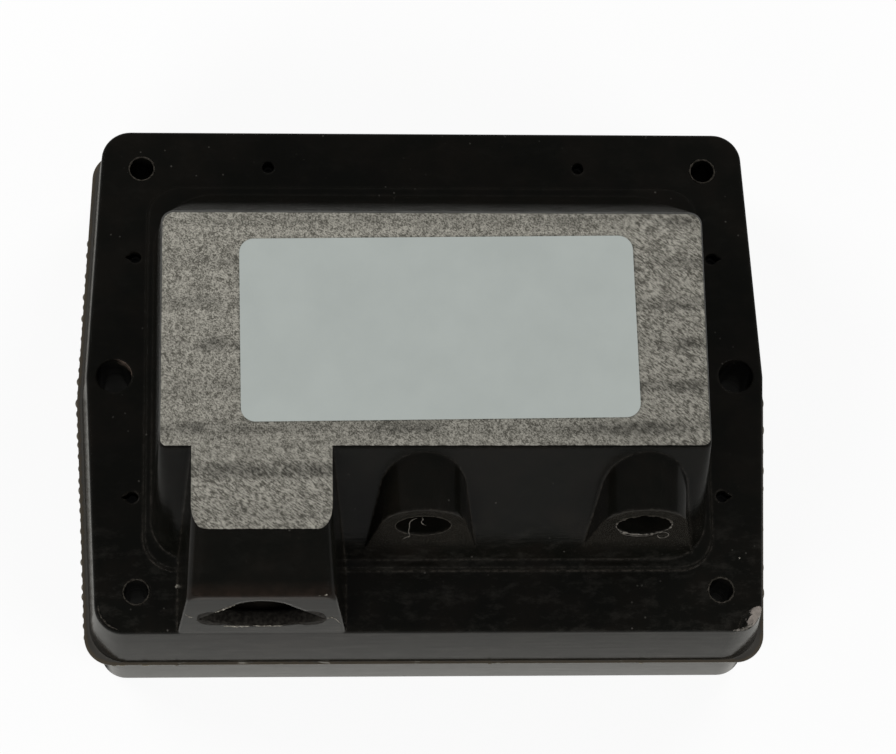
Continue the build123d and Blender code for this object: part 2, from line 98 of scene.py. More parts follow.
def blend(made, share, first, second):
    """Two colours mixed by a share."""
    values = {"Factor": share, "A": first, "B": second}
    mixed = node(made, "Mix", data_type="RGBA")
    for socket, value in values.items():
        chosen = [s for s in mixed.inputs if s.name == socket and (socket == "Factor" or s.type == "RGBA")][0]
        if isinstance(value, bpy.types.NodeSocket):
            made.node_tree.links.new(value, chosen)
        else:
            chosen.default_value = value if socket == "Factor" else (*value, 1)
    return [s for s in mixed.outputs if s.type == "RGBA"][0]


def math(made, operation, first, second=0.0):
    """The result of one sum on two values."""
    return node(made, "Math", {0: first, 1: second}, operation=operation).outputs[0]


def bump(made, height, depth):
    """A normal roughened by a height whose full range is depth metres."""
    return node(made, "Bump", {"Height": height, "Distance": depth}).outputs["Normal"]


def axis_of(made, letter):
    """One Object coordinate."""
    place = node(made, "TexCoord").outputs["Object"]
    return node(made, "SeparateXYZ", {"Vector": place}).outputs[letter]


def dress(names, made):
    """Gives CAD nodes a material."""
    for name in names:
        nodes[name].data.materials.clear()
        nodes[name].data.materials.append(made)


core_steel = new_material("laminated_steel", core_colour, 0.42, metallic=0.85)
sheet_edge = math(core_steel, "PINGPONG", axis_of(core_steel, "Z"), lamination / 2)
sheet_share = spread(core_steel, sheet_edge, 0, lamination / 5)
mottle = spread(core_steel, grain(core_steel, 0.004), 0.3, 0.7, 0.75, 1.15)
sheet_colour = blend(core_steel, sheet_share, core_gap_colour, core_colour)
core_tint = node(core_steel, "HueSaturation", {"Color": sheet_colour, "Value": mottle}).outputs["Color"]
to_shader(core_steel, Base_Color=core_tint, Normal=bump(core_steel, sheet_share, 0.00005))
dress(("core_e_stack", "core_i_stack", "shunt_stack_front", "shunt_stack_back"), core_steel)

strap_steel = new_material("strap_steel", strap_colour, 0.33, metallic=1.0)
rolling = grain(strap_steel, 0.0006, stretch=(20, 20, 1))
to_shader(strap_steel, Roughness=spread(strap_steel, rolling, 0.3, 0.7, 0.25, 0.45))
to_shader(strap_steel, Normal=bump(strap_steel, rolling, 0.00002))
dress(("core_strap",), strap_steel)

# Papers that set the air gap of the leakage shunts: strips of fibrous tan pressboard, slipped in
# between the shunt stacks and the core.
pressboard = new_material("pressboard", (0.5, 0.38, 0.22), 0.85)
fibre = grain(pressboard, 0.0004, stretch=(4, 1, 1), turn=0.4)
fibre_colour = blend(pressboard, spread(pressboard, fibre, 0.3, 0.7), (0.4, 0.29, 0.15), (0.58, 0.46, 0.29))
to_shader(pressboard, Base_Color=fibre_colour, Normal=bump(pressboard, fibre, 0.00005))
dress(("shunt_gap_papers",), pressboard)

# Coils on the centre limb: natural nylon bobbins, layers of enamelled copper wire wound in their
# chambers, and an outer wrap of yellow polyester tape.
wire_pitch = 0.0003
tape_pitch = 0.0095

bobbin_nylon = new_material("bobbin_nylon", (0.68, 0.64, 0.53), 0.45)
cloud = grain(bobbin_nylon, 0.006)
cloud_share = spread(bobbin_nylon, cloud, 0.3, 0.7)
nylon_colour = blend(bobbin_nylon, cloud_share, (0.62, 0.57, 0.45), (0.74, 0.71, 0.61))
nylon_bump = bump(bobbin_nylon, grain(bobbin_nylon, 0.0008), 0.00002)
to_shader(bobbin_nylon, Base_Color=nylon_colour, Normal=nylon_bump)
dress(("primary_bobbin", "secondary_bobbin_left", "secondary_bobbin_right"), bobbin_nylon)

copper = new_material("enamelled_copper", (0.5, 0.17, 0.06), 0.28, metallic=0.9, coat=0.6)
turn_edge = math(copper, "PINGPONG", axis_of(copper, "X"), wire_pitch / 2)
turn_share = spread(copper, turn_edge, 0, wire_pitch / 2)
copper_colour = blend(copper, turn_share, (0.13, 0.035, 0.012), (0.62, 0.24, 0.09))
to_shader(copper, Base_Color=copper_colour, Normal=bump(copper, turn_share, 0.00012))
dress(("primary_winding", "secondary_winding_left", "secondary_winding_right"), copper)

coil_tape = new_material("coil_tape", (0.72, 0.52, 0.08), 0.22, coat=0.3)
lap = math(coil_tape, "PINGPONG", axis_of(coil_tape, "X"), tape_pitch)
lap_share = spread(coil_tape, lap, 0, 0.0004)
wrinkle = grain(coil_tape, 0.002, stretch=(6, 1, 1))
tape_colour = blend(coil_tape, lap_share, (0.5, 0.33, 0.04), (0.74, 0.55, 0.1))
to_shader(coil_tape, Base_Color=tape_colour, Normal=bump(coil_tape, wrinkle, 0.00006))
dress(("primary_tape", "secondary_tape_left", "secondary_tape_right"), coil_tape)

# High-voltage contacts and mains blades: bright drawn brass, a little tarnished, the contacts barbed
# to bite into the cable's core and the blades punched for push-on terminals.
brass = new_material("contact_brass", (0.62, 0.44, 0.17), 0.28, metallic=1.0)
tarnish = spread(brass, grain(brass, 0.0015, detail=5), 0.35, 0.7)
brass_colour = blend(brass, tarnish, (0.66, 0.47, 0.19), (0.36, 0.23, 0.08))
drawing = grain(brass, 0.0002, stretch=(1, 12, 1))
to_shader(brass, Base_Color=brass_colour, Roughness=spread(brass, tarnish, 0, 1, 0.22, 0.42))
to_shader(brass, Normal=bump(brass, drawing, 0.00001))
dress(("hv_contact_left", "hv_contact_right", "live_blade", "neutral_blade", "earth_blade"), brass)

# Leads inside the block: silicone for the high voltage, and brown, blue and green sleeves on the
# mains side, each with a dusty matt skin.
lead_colours = {
    "hv_lead_left": (0.42, 0.04, 0.025),
    "hv_lead_right": (0.42, 0.04, 0.025),
    "live_lead": (0.11, 0.045, 0.02),
    "neutral_lead": (0.03, 0.09, 0.36),
    "earth_lead": (0.13, 0.3, 0.05),
}
for lead, colour in lead_colours.items():
    sleeve = new_material(f"{lead}_sleeve", colour, 0.5)
    dust = spread(sleeve, grain(sleeve, 0.0012, detail=5), 0.45, 0.75, 0, 0.35)
    pale = tuple(0.6 * c + 0.12 for c in colour)
    to_shader(sleeve, Base_Color=blend(sleeve, dust, colour, pale))
    to_shader(sleeve, Normal=bump(sleeve, grain(sleeve, 0.0003), 0.00002))
    dress((lead,), sleeve)

# Terminal carrier: a dark moulded insert that closes the hood's chamber from behind and holds the
# three blades.
carrier_moulding = new_material("carrier_moulding", (0.01, 0.009, 0.008), 0.45)
flow = spread(carrier_moulding, grain(carrier_moulding, 0.003, detail=4), 0.3, 0.7)
carrier_colour = blend(carrier_moulding, flow, (0.006, 0.0052, 0.0045), (0.014, 0.012, 0.01))
to_shader(carrier_moulding, Base_Color=carrier_colour)
to_shader(carrier_moulding, Normal=bump(carrier_moulding, grain(carrier_moulding, 0.0005), 0.00003))
dress(("terminal_carrier",), carrier_moulding)

# Housing: one dark brown-black thermoset moulding, compression moulded and left glossy, with its
# top face ground flat to a grey speckle and a chip broken out of the front right corner.
flange_top = 0.03
block_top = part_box("housing")[1].z
moulding_dark = (0.0035, 0.0035, 0.0027)
moulding_brown = (0.0062, 0.0052, 0.004)

moulding = new_material("moulding", moulding_dark, 0.18)
place = node(moulding, "TexCoord").outputs["Object"]
along, across, upward = (axis_of(moulding, letter) for letter in "XYZ")


def plus(first, second):
    """The sum of two values on the moulding."""
    return math(moulding, "ADD", first, second)


def minus(first, second):
    """The difference of two values on the moulding."""
    return math(moulding, "SUBTRACT", first, second)


def times(*factors):
    """The product of values on the moulding."""
    product = factors[0]
    for factor in factors[1:]:
        product = math(moulding, "MULTIPLY", product, factor)
    return product


def size_of(value):
    """A value on the moulding without its sign."""
    return math(moulding, "ABSOLUTE", value)


def squared(value):
    """The square of a value on the moulding."""
    return math(moulding, "POWER", value, 2.0)


def highest(first, second):
    """The higher of two values on the moulding."""
    return math(moulding, "MAXIMUM", first, second)


def ramp(value, low, high, to_low=0.0, to_high=1.0):
    """A value on the moulding, mapped from low..high to other limits and held there."""
    return spread(moulding, value, low, high, to_low, to_high)


def patches(size, low, high, to_low=0.0, to_high=1.0, **kind):
    """Noise on the moulding, mapped as a ramp maps a value."""
    return ramp(grain(moulding, size, **kind), low, high, to_low, to_high)


def lit_by(colour, value):
    """A colour on the moulding, made darker or paler."""
    return node(moulding, "HueSaturation", {"Color": colour, "Value": value}).outputs["Color"]


skin = blend(moulding, patches(0.009, 0.42, 0.72, detail=4), moulding_dark, moulding_brown)

# Dust lies on it in pale specks, thick in some patches.
dust_colour = (0.07, 0.066, 0.058)
dust_spacing = 0.0022
dust_cover = 0.65
dust_cells = node(moulding, "TexVoronoi", {"Vector": place, "Scale": 1 / dust_spacing}, feature="F1")
dust_spot = ramp(dust_cells.outputs["Distance"], 0.05, 0.11, 1, 0)
dust_share = times(dust_spot, patches(0.012, 0.5, 0.62), dust_cover)
skin = blend(moulding, dust_share, skin, dust_colour)

# Its edges are softly rounded in the shading and painted paler, partly worn and partly a painted highlight,
# most of all at the front.
edge_radius = 0.0009
edge_wear_and_highlight_colour = (0.034, 0.03, 0.025)
facing = node(moulding, "NewGeometry").outputs["Normal"]
soft_normal = node(moulding, "Bevel", {"Radius": edge_radius}, samples=8).outputs["Normal"]
normals = {0: facing, 1: soft_normal}
sameness = node(moulding, "VectorMath", normals, operation="DOT_PRODUCT").outputs["Value"]
edge_patches = patches(0.0009, 0.4, 0.65, 0.1, 0.8)
# Painted highlight and wear: edges found by the rounded normal are made paler.
edge_wear_and_highlight = times(ramp(sameness, 0.9, 0.995, 1, 0), edge_patches, ramp(across, -0.035, 0.0, 1, 0.2))
skin = blend(moulding, edge_wear_and_highlight, skin, edge_wear_and_highlight_colour)

# A thin grey film covers the front of the flange and fades out up the block.
film_colour = (0.03, 0.028, 0.024)
film = patches(0.003, 0.5, 0.75, 0, 0.6, detail=8, stretch=(1.8, 1, 1), rough=0.75)
film_way = times(ramp(across, -0.026, -0.036, 0.15, 1), ramp(upward, 0.033, 0.042, 1, 0.2))
skin = blend(moulding, times(film, film_way), skin, film_colour)

# The brow over the hood's opening has a rust-brown stain.
rust_colour = (0.017, 0.0115, 0.0085)
brow_back, brow_front = -0.0462, -0.0484
brow_foot, brow_top = 0.0495, 0.0505
brow = times(ramp(across, brow_back, brow_front), ramp(upward, brow_foot, brow_top))
rust = times(brow, patches(0.002, 0.3, 0.7, 0.3, 1, detail=5))
skin = blend(moulding, rust, skin, rust_colour)

# The back and end slopes of the block are painted grey below its top edge: a painted sheen of the rounded
# edge, lightest at the edge and fading down the slope.
top_sheen_colour = (0.072, 0.072, 0.068)
top_sheen_depth = 0.015
top_sheen_start, top_sheen_full = -0.0225, -0.0195
to_front = node(moulding, "SeparateXYZ", {"Vector": facing}).outputs["Y"]
top_sheen = ramp(upward, block_top - top_sheen_depth, block_top - 0.001)
top_sheen = times(top_sheen, ramp(across, top_sheen_start, top_sheen_full))
top_sheen = times(top_sheen, patches(0.005, 0.3, 0.6, 0.6, 1, detail=6), ramp(to_front, -0.6, -0.3))
skin = blend(moulding, top_sheen, skin, top_sheen_colour)

# The ring faces of the two outlet towers are duller and browner than the rest.
ring_colour = (0.018, 0.0165, 0.0135)
tower_middle = 0.0184
tower_offset = 0.0204
tower_half_width = 0.0098
ring_limits = (
    (across, -0.038, -0.0372),
    (across, -0.0318, -0.0326),
    (upward, flange_top + 0.003, flange_top + 0.008),
)
ring_share = ramp(to_front, -0.6, -0.85)
for way, low, high in ring_limits:
    ring_share = times(ring_share, ramp(way, low, high))
from_tower = size_of(minus(size_of(minus(along, tower_middle)), tower_offset))
ring_share = times(ring_share, ramp(from_tower, tower_half_width, tower_half_width + 0.0007, 1, 0))
ring_share = times(ring_share, patches(0.0015, 0.3, 0.7, 0.4, 1, detail=6))
skin = blend(moulding, ring_share, skin, ring_colour)

# The wall of the left end hole is paler in a ragged crescent at its back right.
crescent_colour = (0.1, 0.075, 0.06)
end_hole_x = -0.0597
end_hole_radius = 0.0033
crescent_limits = (
    (along, end_hole_x, end_hole_x + 0.0014),
    (across, -0.0006, 0.0006),
    (upward, flange_top - 0.0032, flange_top - 0.0016),
)
from_hole = math(moulding, "SQRT", plus(squared(minus(along, end_hole_x)), squared(across)))
crescent_share = ramp(from_hole, end_hole_radius + 0.00001, end_hole_radius + 0.00012, 1, 0)
crescent_edge = patches(0.0012, 0.3, 0.7, -0.0006, 0.0006, detail=5)
for way, low, high in crescent_limits:
    crescent_share = times(crescent_share, ramp(plus(way, crescent_edge), low, high))
crescent_share = times(crescent_share, patches(0.0008, 0.35, 0.6, 0.2, 1, detail=5))
skin = blend(moulding, crescent_share, skin, crescent_colour)

# The hood's opening was broken out: its two tips and its sill are rough and grainy, with painted shade
# darkening the sill deeper into the opening.
broken_dark = (0.008, 0.007, 0.006)
broken_light = (0.044, 0.04, 0.034)
hood_x = -0.0316
hood_face_y = -0.0502
hood_lean = radians(3.9)
mouth_half_width = 0.0121
mouth_tip = (0.0086, 0.0386)
mouth_tip_size = (0.0033, 0.0042)
mouth_x = size_of(minus(along, hood_x))
sill_limits = (
    (mouth_x, mouth_half_width + 0.0001, mouth_half_width),
    (upward, 0.0331, 0.0333),
    (upward, 0.0485, 0.0465),
)
sideways = math(moulding, "DIVIDE", minus(mouth_x, mouth_tip[0]), mouth_tip_size[0])
upwards = math(moulding, "DIVIDE", minus(upward, mouth_tip[1]), mouth_tip_size[1])
ragged_tip = plus(plus(squared(sideways), squared(upwards)), patches(0.0008, 0.3, 0.7, -0.12, 0.12))
tip_share = ramp(ragged_tip, 1.0, 1.08, 1, 0)
face_rise = times(minus(upward, flange_top), tan(hood_lean))
behind_face = minus(minus(across, hood_face_y), face_rise)
sill_share = ramp(behind_face, 0.00004, 0.00012)
for way, low, high in sill_limits:
    sill_share = math(moulding, "MINIMUM", sill_share, ramp(way, low, high))
broken_share = times(highest(tip_share, sill_share), ramp(across, brow_back, brow_back - 0.0003))
broken = blend(moulding, patches(0.0006, 0.42, 0.72, detail=6, rough=0.7), broken_dark, broken_light)
# Painted shade: the broken resin darkens with depth behind the hood's face.
broken = lit_by(broken, ramp(behind_face, 0.0003, 0.0028, 1, 0.3))
skin = blend(moulding, broken_share, skin, broken)

# The fin of flash is brown and grainy at its broken edge, with pale flecks along the front.
fin_inner = (0.05, 0.047, 0.042)
fin_outer = (0.058, 0.049, 0.037)
fleck_colour = (0.2, 0.19, 0.165)
fin_apex = 0.06775
fin_front = 0.05245
fin_corner = 0.0055
fin_taper = 0.0025 / fin_front
fin_foot, fin_top = 0.0122, 0.0128
fin_y = size_of(across)
bowed_x = plus(size_of(along), times(fin_y, fin_taper))
corner_x = highest(minus(bowed_x, fin_apex - fin_corner), 0.0)
corner_y = highest(minus(fin_y, fin_front - fin_corner), 0.0)
from_corner = math(moulding, "SQRT", plus(squared(corner_x), squared(corner_y)))
fin_rim = plus(from_corner, ramp(patches(0.0012, 0.35, 0.65, detail=5), 0, 1, -0.0002, 0.0002))
fin_edge = ramp(fin_rim, fin_corner - 0.0006, fin_corner - 0.0004)
fin_tone = blend(moulding, fin_edge, fin_inner, fin_outer)
fin_fleck = patches(0.0016, 0.6, 0.66, detail=5, stretch=(2.4, 1, 1))
fin_fleck = times(fin_fleck, ramp(across, 0.00055 - fin_front, 0.00035 - fin_front))
fin_tone = blend(moulding, fin_fleck, fin_tone, fleck_colour)
fin_share = times(ramp(upward, fin_foot, fin_foot + 0.00004), ramp(upward, fin_top - 0.00004, fin_top, 1, 0))
fin_share = times(fin_share, ramp(from_corner, 0.0001, 0.0002))
skin = blend(moulding, fin_share, skin, fin_tone)

# The chip out of the front right corner shows the pale inside of the moulding, and stays dark at
# its lower and inner sides.
scar_colour = (0.23, 0.203, 0.18)
scar_turn = (0.061, -0.0487)
scar_slant = 1.1
scar_back = 0.0907
scar_back_slant = 0.65
scar_left = 0.0594
chip_radius = 0.007
chip_depth = 0.0014
chip_tilt = radians(55)
flange_corner = Vector((0.0625, -0.0502, flange_top))
flange_corner_radius = 0.0055
diagonal = Vector((cos(pi / 4), -sin(pi / 4), 0))
chip_rim = flange_corner - (1 - cos(pi / 4)) * flange_corner_radius * Vector((1, -1, 0))
chip_way = diagonal * cos(chip_tilt) + Vector((0, 0, sin(chip_tilt)))
chip_centre = chip_rim + (chip_radius - chip_depth) * chip_way
chip_middle = {0: place, 1: tuple(chip_centre)}
from_chip = node(moulding, "VectorMath", chip_middle, operation="DISTANCE").outputs["Value"]
scar_edge = patches(0.0016, 0.3, 0.7, -0.0006, 0.0006, detail=5)
scar_side = minus(across, times(minus(along, scar_turn[0]), scar_slant))
scar_limits = (
    (along, scar_left, scar_left + 0.0003),
    (minus(along, times(across, scar_back_slant)), scar_back, scar_back + 0.0003),
    (scar_side, scar_turn[1] - 0.0001, scar_turn[1] + 0.0001),
)
scar_share = ramp(from_chip, chip_radius + 0.00004, chip_radius + 0.00016, 1, 0)
for way, low, high in scar_limits:
    scar_share = times(scar_share, ramp(plus(way, scar_edge), low, high))
scar = lit_by((*scar_colour, 1), patches(0.0012, 0.35, 0.65, 0.75, 1.1, detail=4))
skin = blend(moulding, scar_share, skin, scar)

# The top face was ground flat: a fine grey speckle, drawn out into strokes at the right and on
# the hood, and crossed by darker bands.
ground_light = (0.392, 0.377, 0.328)
ground_dark = (0.08, 0.076, 0.063)
stroke_turn = radians(38)
band_pitch = 0.008
band_start = 0.0218
band_half_width = 0.0019
band_strength = 0.42
strong_bands = (
    (-0.0405, -0.0031, 0.004), (-0.0235, -0.0269, 0.009), (-0.036, -0.0269, 0.01),
    (-0.044, -0.0194, 0.004), (0.046, 0.0209, 0.004), (0.0465, -0.0033, 0.004),
    (0.046, -0.011, 0.005), (0.036, -0.0196, 0.016), (-0.006, -0.0204, 0.01),
)
fine = grain(moulding, 0.00024, detail=2.5, stretch=(1.3, 1, 1), turn=stroke_turn, rough=0.7)
strokes = grain(moulding, 0.00021, detail=2.0, stretch=(3.2, 1, 1), turn=stroke_turn, rough=0.65)
stroke_share = highest(ramp(along, 0.028, 0.04), ramp(across, -0.02, -0.027))
speckle_values = {"Factor": stroke_share, "A": fine, "B": strokes}
speckle = node(moulding, "Mix", speckle_values, data_type="FLOAT").outputs["Result"]
speckle_mix = plus(times(speckle, 0.72), times(grain(moulding, 0.0009), 0.28))
ground = blend(moulding, ramp(speckle_mix, 0.415, 0.595), ground_dark, ground_light)
wander = times(grain(moulding, 0.006, stretch=(2, 1, 1)), 0.0018)
from_band = math(moulding, "PINGPONG", minus(plus(across, wander), band_start), band_pitch / 2)
band = ramp(from_band, band_half_width * 0.25, band_half_width, 1, 0)
band_reach = patches(0.011, 0.42, 0.68, 0.2, 0.8, detail=2, stretch=(1.5, 0.7, 1))
for x, y, reach in strong_bands:
    band_middle = {0: place, 1: (x, y, block_top)}
    away = node(moulding, "VectorMath", band_middle, operation="DISTANCE").outputs["Value"]
    band_reach = highest(band_reach, ramp(away, reach * 0.4, reach, 1, 0))
darkening = times(band, band_reach, patches(0.0012, 0.3, 0.6, 0.35, 1, detail=4))
# Painted light falloff: the ground face is lighter at the back left and darker towards the front right.
falloff_way = minus(along, times(across, 2.0))
ground_value = times(ramp(darkening, 0, 1, 1, band_strength), ramp(falloff_way, -0.1, 0.1, 1.02, 0.76))
ground = lit_by(ground, ground_value)
height = plus(upward, times(grain(moulding, 0.0009, detail=4), 0.00012))
ground_share = ramp(height, block_top + 0.00001, block_top + 0.00002)
skin = blend(moulding, ground_share, skin, ground)

# Broken and ground faces are matt, and the rest is glossy with a faint pitting.
pitting = grain(moulding, 0.0012, detail=4, stretch=(10, 10, 1))
gloss = patches(0.004, 0.3, 0.7, 0.14, 0.22, detail=5)
matt_share = highest(highest(ground_share, scar_share), broken_share)
gloss_values = {"Factor": matt_share, "A": gloss, "B": 0.85}
roughness = node(moulding, "Mix", gloss_values, data_type="FLOAT").outputs["Result"]
relief_values = {"Factor": matt_share, "A": pitting, "B": speckle}
relief = node(moulding, "Mix", relief_values, data_type="FLOAT").outputs["Result"]
bump_values = {"Height": relief, "Distance": 0.00003, "Normal": soft_normal}
worn_normal = node(moulding, "Bump", bump_values).outputs["Normal"]
to_shader(moulding, Base_Color=skin, Roughness=roughness, Normal=worn_normal)
dress(("housing",), moulding)

# Flash along the parting line: thin resin squeezed out between the mould halves, broken off in
# scallops down the left end, in low waves down the right one and in crumbs along the front.
fin_height = (fin_foot + fin_top) / 2
tooth_radius = 0.00125
tooth_thickness = 0.0004
tooth_pitch = 0.0021
wave_pitch = 0.0046
teeth_reach = (-0.047, 0.034)
waves_reach = (-0.044, 0.04)
front_flecks = ((-0.0597, 0.9), (-0.0582, 1.1), (-0.0538, 1.3), (-0.0478, 0.6), (0.0122, 0.7), (0.0415, 0.8))
chance = Random(7)


def displaced(piece, size, depth):
    """Roughens a piece by clouds of a size, depth metres from peak to peak."""
    clouds = bpy.data.textures.new(f"{piece.name}_clouds", "CLOUDS")
    clouds.noise_scale = size
    rough = piece.modifiers.new("rough", "DISPLACE")
    rough.texture = clouds
    rough.texture_coords = "LOCAL"
    rough.strength = depth
    bpy.ops.object.modifier_apply(modifier="rough")


def gathered(pieces, name, made):
    """Joins pieces into one that rides on the root."""
    bpy.ops.object.select_all(action="DESELECT")
    for piece in pieces:
        piece.select_set(True)
    bpy.context.view_layer.objects.active = pieces[0]
    if len(pieces) > 1:
        bpy.ops.object.join()
    joined = bpy.context.object
    joined.name = name
    joined.data.materials.clear()
    joined.data.materials.append(made)
    bpy.ops.object.shade_smooth_by_angle(angle=radians(40))
    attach(joined, "root")
    return joined


def copied(pattern, places):
    """Copies a pattern to each place, a matrix, and removes the pattern."""
    made = []
    for place in places:
        bpy.ops.object.select_all(action="DESELECT")
        pattern.select_set(True)
        bpy.context.view_layer.objects.active = pattern
        bpy.ops.object.duplicate(linked=False)
        bpy.context.object.data.transform(place)
        made.append(bpy.context.object)
    bpy.data.objects.remove(pattern, do_unlink=True)
    return made


flash_resin = new_material("flash_resin", (0.034, 0.029, 0.022), 0.45)
thin = spread(flash_resin, grain(flash_resin, 0.0008, detail=4), 0.35, 0.65)
flash_colour = blend(flash_resin, thin, (0.06, 0.052, 0.04), (0.19, 0.17, 0.135))
to_shader(flash_resin, Base_Color=flash_colour)
to_shader(flash_resin, Normal=bump(flash_resin, grain(flash_resin, 0.0004), 0.00005))

bpy.ops.mesh.primitive_cylinder_add(vertices=24, radius=tooth_radius, depth=tooth_thickness)
tooth = bpy.context.object
bpy.ops.object.mode_set(mode="EDIT")
bpy.ops.mesh.select_all(action="SELECT")
bpy.ops.mesh.bevel(offset=tooth_thickness * 0.3, segments=2)
bpy.ops.object.mode_set(mode="OBJECT")
spots = []
y, last_y = teeth_reach
while y < last_y:
    swell = chance.uniform(0.8, 1.15)
    out = fin_apex - fin_taper * abs(y) - tooth_radius * swell + chance.uniform(0.0001, 0.00035)
    spots.append(Matrix.Translation((-out, y, fin_height)) @ Matrix.Diagonal((swell, swell * 0.95, 1, 1)))
    y += tooth_pitch * chance.uniform(0.85, 1.2)
y, last_y = waves_reach
while y < last_y:
    swell = chance.uniform(1.8, 2.4)
    out = fin_apex - fin_taper * abs(y) - tooth_radius * swell + chance.uniform(0.00005, 0.00025)
    spots.append(Matrix.Translation((out, y, fin_height)) @ Matrix.Diagonal((swell, swell, 0.8, 1)))
    y += wave_pitch * chance.uniform(0.8, 1.2)
for x, length in front_flecks:
    shape = Matrix.Diagonal((0.55 * length, 0.22, 0.8, 1))
    spots.append(Matrix.Translation((x, 0.0001 - fin_front, fin_height)) @ shape)
gathered(copied(tooth, spots), "flash_teeth", flash_resin)

# Rims of the sockets and of the screw holes: the moulding's skin torn by the core pins and drills,
# pale and fibrous at the right-hand socket, a thin dull lip at the others.
socket_radius = 0.00515
socket_axis = 0.0463
tower_face = -0.0341
tower_lean = radians(4.5)
towers = {"left": tower_middle - tower_offset, "right": tower_middle + tower_offset}
lip_radius = {"left": 0.00006, "right": 0.00008}
lip_roughness = {"left": 0.00018, "right": 0.0007}
screw_pitch = (0.11, 0.0848)
screw_rim_radius = 0.00242
screw_lip_radius = 0.00014
resin_tones = {
    "torn": ((0.07, 0.062, 0.05), (0.34, 0.32, 0.275)),
    "lifted": ((0.05, 0.046, 0.04), (0.19, 0.176, 0.155)),
    "worn": ((0.016, 0.0145, 0.012), (0.055, 0.049, 0.041)),
}


def torn_resin(name, tones, upper_tones=None):
    """Matt resin in patches of two tones, and of two others above the sockets' axis if given."""
    made = new_material(name, tones[1], 0.9)
    made.node_tree.nodes["Principled BSDF"].inputs["Specular IOR Level"].default_value = 0.12
    patch = spread(made, grain(made, 0.0007, detail=5), 0.35, 0.65)
    colour = blend(made, patch, *tones)
    if upper_tones:
        raggedness = spread(made, patch, 0, 1, -0.001, 0.001)
        lip_height = math(made, "ADD", axis_of(made, "Z"), raggedness)
        upper_share = spread(made, lip_height, socket_axis + 0.0006, socket_axis + 0.0026)
        colour = blend(made, upper_share, colour, blend(made, patch, *upper_tones))
    to_shader(made, Base_Color=colour, Normal=bump(made, grain(made, 0.00025), 0.00005))
    return made


def torn_rim(radius, lip, segments, size, depth):
    """A ring of torn skin round a hole, its roughness of a size and a depth."""
    shape = {"major_radius": radius, "minor_radius": lip, "major_segments": segments, "minor_segments": 8}
    bpy.ops.object.select_all(action="DESELECT")
    bpy.ops.mesh.primitive_torus_add(**shape)
    displaced(bpy.context.object, size, depth)
    return bpy.context.object


resins = {name: torn_resin(f"{name}_resin", tones) for name, tones in resin_tones.items()}
resins["lip"] = torn_resin("lip_resin", resin_tones["lifted"], resin_tones["worn"])

leaned = Matrix(((1, 0, 0, 0), (0, tan(tower_lean), -1, 0), (0, 1, 0, 0), (0, 0, 0, 1)))
for side, x in towers.items():
    rim = torn_rim(socket_radius, lip_radius[side], 160, 0.0009, lip_roughness[side])
    rim.data.transform(Matrix.Translation((x, tower_face, socket_axis)) @ leaned)
    gathered([rim], f"socket_rim_{side}", resins["lip" if side == "right" else "worn"])

rims = []
for x in (screw_pitch[0] / 2, -screw_pitch[0] / 2):
    for y in (screw_pitch[1] / 2, -screw_pitch[1] / 2):
        rim = torn_rim(screw_rim_radius, screw_lip_radius, 96, 0.0006, 0.00026)
        rim.data.transform(Matrix.Translation((x, y, flange_top)))
        rims.append(rim)
gathered(rims, "screw_hole_rims", resins["worn"])

# Whiskers and slivers: hairs of flash left hanging at the sockets, torn edges round the hood's mouth,
# a lifted sliver at the front left corner and a pale one under the chip at the right.
face_off = 0.00018
hairs = {
    "socket_whiskers": (0.00007, (
        ((-0.0056, 0.0394), (-0.0049, 0.0406), (-0.0041, 0.041), (-0.0047, 0.0435), (-0.0045, 0.046),
         (-0.0047, 0.0482), (-0.0042, 0.0502), (-0.0034, 0.0508)),
        ((-0.0025, 0.0513), (-0.0021, 0.0502), (-0.0026, 0.049), (-0.0022, 0.0476), (-0.0014, 0.0468)),
    )),
    "socket_loop": (0.00006, (
        ((0.0412, 0.0429), (0.0426, 0.0433), (0.0439, 0.0422), (0.0439, 0.0407), (0.0429, 0.0395),
         (0.0419, 0.0404), (0.0417, 0.0417)),
        ((0.0346, 0.043), (0.0356, 0.0416), (0.0372, 0.0409), (0.0392, 0.0408), (0.041, 0.0413)),
    )),
}
mouth_edges = (
    (0.00016, ((-0.0386, 0.03405), (-0.0376, 0.03395), (-0.0366, 0.034), (-0.0356, 0.0339),
               (-0.0346, 0.034), (-0.0338, 0.034))),
    (0.0001, ((-0.0332, 0.0341), (-0.0319, 0.034), (-0.0304, 0.03405), (-0.029, 0.034), (-0.0276, 0.0341))),
    (0.00013, ((-0.0401, 0.0424), (-0.039, 0.0438), (-0.038, 0.045), (-0.0371, 0.0461), (-0.0362, 0.0472))),
    (0.00007, ((-0.0456, 0.0412), (-0.0452, 0.0405), (-0.045, 0.04), (-0.0447, 0.0396), (-0.0442, 0.0394))),
    (0.00007, ((-0.0196, 0.0386), (-0.019, 0.039), (-0.0185, 0.0391), (-0.0178, 0.0376), (-0.017, 0.0352))),
)
slivers = (
    ("lifted_sliver", "worn", 0.00015, flange_top + 0.00004, (
        (-0.062, -0.045), (-0.0619, -0.0462), (-0.0614, -0.0473), (-0.0607, -0.048),
        (-0.0602, -0.0487), (-0.0592, -0.0492), (-0.0584, -0.0496))),
    ("pale_sliver", "lifted", 0.00024, flange_top - 0.0002, (
        (0.057, -0.05015), (0.0579, -0.05015), (0.0588, -0.04995), (0.0596, -0.04965),
        (0.0603, -0.0492), (0.0608, -0.04875))),
)


